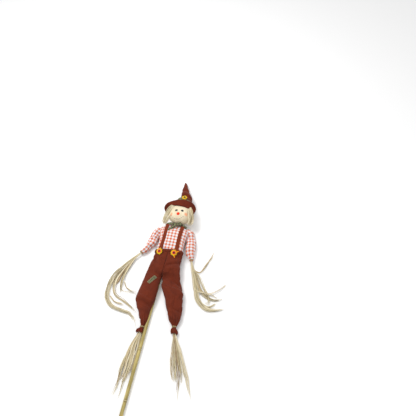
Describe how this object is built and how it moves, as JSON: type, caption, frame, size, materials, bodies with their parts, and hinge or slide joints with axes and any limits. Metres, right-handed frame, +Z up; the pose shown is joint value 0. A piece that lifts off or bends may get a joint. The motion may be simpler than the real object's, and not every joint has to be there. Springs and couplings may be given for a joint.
{
  "type": "scarecrow figure",
  "caption": "Soft scarecrow doll in a checked shirt, brown trousers and pointed hat, with raffia hands and feet, on a bamboo cane.",
  "frame": {"origin": "on the floor, in the middle of the footprint, with the figure lying on its back", "axes": "+Z up from the floor and out of the chest, +Y towards the head, +X towards the wearer's left; the cane's axis is parallel to Y"},
  "size_m": [0.4472, 1.1417, 0.078],
  "materials": {
    "bamboo": "natural culm, satin",
    "gingham": "orange-red and white woven check",
    "trouser_cloth": "rust brown brushed twill",
    "strap_cloth": "rust brown folded twill band",
    "filling": "white polyester fibre",
    "petal_felt": "yellow felt",
    "ring_felt": "orange-red felt",
    "seed_bead": "black half bead",
    "leaf_felt": "orange felt",
    "plaid": "dark green and maroon woven plaid",
    "raffia": "natural raffia straw",
    "raffia_tie": "twisted raffia thread",
    "muslin": "unbleached muslin with a printed face",
    "eye_black": "raised black paint",
    "nose_red": "orange-red felt pad",
    "hat_felt": "rust brown felt"
  },
  "bodies": {
    "torso": {"shirt_body": "gingham", "torso_stuffing": "filling", "trouser_seat": "trouser_cloth", "seat_stuffing": "filling", "waistband": "trouser_cloth", "suspender_right": "strap_cloth", "suspender_left": "strap_cloth", "sunflower_petals_right": "petal_felt", "sunflower_ring_right": "ring_felt", "sunflower_centre_right": "seed_bead", "sunflower_petals_left": "petal_felt", "sunflower_ring_left": "ring_felt", "sunflower_centre_left": "seed_bead", "leaf_pair_left": "leaf_felt", "neckerchief_band": "plaid", "neckerchief_knot": "plaid", "neckerchief_tails": "plaid", "bamboo_cane": "bamboo"},
    "head": {"head_cover": "muslin", "head_stuffing": "filling", "neck_gather": "muslin", "eye_right": "eye_black", "eye_left": "eye_black", "nose": "nose_red", "hair_right": "raffia", "hair_left": "raffia", "hat_crown": "hat_felt", "hat_band": "plaid", "hat_brim": "hat_felt", "hat_flower_petals": "petal_felt", "hat_flower_centre": "seed_bead"},
    "hat_tip": {"hat_tip": "hat_felt"},
    "arm_right": {"sleeve_right": "gingham", "arm_straw_right": "raffia", "wrist_tie_right": "raffia_tie"},
    "arm_left": {"sleeve_left": "gingham", "arm_straw_left": "raffia", "wrist_tie_left": "raffia_tie"},
    "hand_right": {"hand_straw_right": "raffia"},
    "hand_left": {"hand_straw_left": "raffia"},
    "leg_right": {"trouser_leg_right": "trouser_cloth", "leg_stuffing_right": "filling", "ankle_tie_right": "raffia_tie", "thigh_patch": "plaid"},
    "leg_left": {"trouser_leg_left": "trouser_cloth", "leg_stuffing_left": "filling", "ankle_tie_left": "raffia_tie"},
    "foot_right": {"ankle_frill_right": "trouser_cloth", "foot_straw_right": "raffia"},
    "foot_left": {"ankle_frill_left": "trouser_cloth", "foot_straw_left": "raffia"}
  },
  "joints": [
    {"name": "neck_turn", "type": "hinge", "parent": "torso", "child": "head", "pos_m": [-0.0248, 0.3472, 0.018], "axis": [0, 0, 1], "range_deg": [-8, 8]},
    {"name": "hat_tip_bend", "type": "hinge", "parent": "head", "child": "hat_tip", "pos_m": [-0.0168, 0.4792, 0.035], "axis": [0, 0, 1], "range_deg": [-25, 25]},
    {"name": "shoulder_right", "type": "hinge", "parent": "torso", "child": "arm_right", "pos_m": [-0.0878, 0.3152, 0.0142], "axis": [0, 0, 1], "range_deg": [-75, 0]},
    {"name": "shoulder_left", "type": "hinge", "parent": "torso", "child": "arm_left", "pos_m": [0.0362, 0.3232, 0.0142], "axis": [0, 0, 1], "range_deg": [0, 75]},
    {"name": "wrist_right", "type": "hinge", "parent": "arm_right", "child": "hand_right", "pos_m": [-0.1318, 0.2112, 0.012], "axis": [0, 0, 1], "range_deg": [-25, 0]},
    {"name": "wrist_left", "type": "hinge", "parent": "arm_left", "child": "hand_left", "pos_m": [0.0652, 0.2172, 0.012], "axis": [0, 0, 1], "range_deg": [0, 35]},
    {"name": "hip_right", "type": "hinge", "parent": "torso", "child": "leg_right", "pos_m": [-0.0573, 0.1279, 0.0385], "axis": [-1, 0, 0], "range_deg": [0, 60]},
    {"name": "hip_left", "type": "hinge", "parent": "torso", "child": "leg_left", "pos_m": [0.0097, 0.1279, 0.0385], "axis": [-1, 0, 0], "range_deg": [0, 60]},
    {"name": "ankle_right", "type": "hinge", "parent": "leg_right", "child": "foot_right", "pos_m": [-0.0473, -0.0668, 0.0115], "axis": [0, 0, 1], "range_deg": [-20, 0]},
    {"name": "ankle_left", "type": "hinge", "parent": "leg_left", "child": "foot_left", "pos_m": [0.0618, -0.0458, 0.0115], "axis": [0, 0, 1], "range_deg": [-15, 20]}
  ]
}
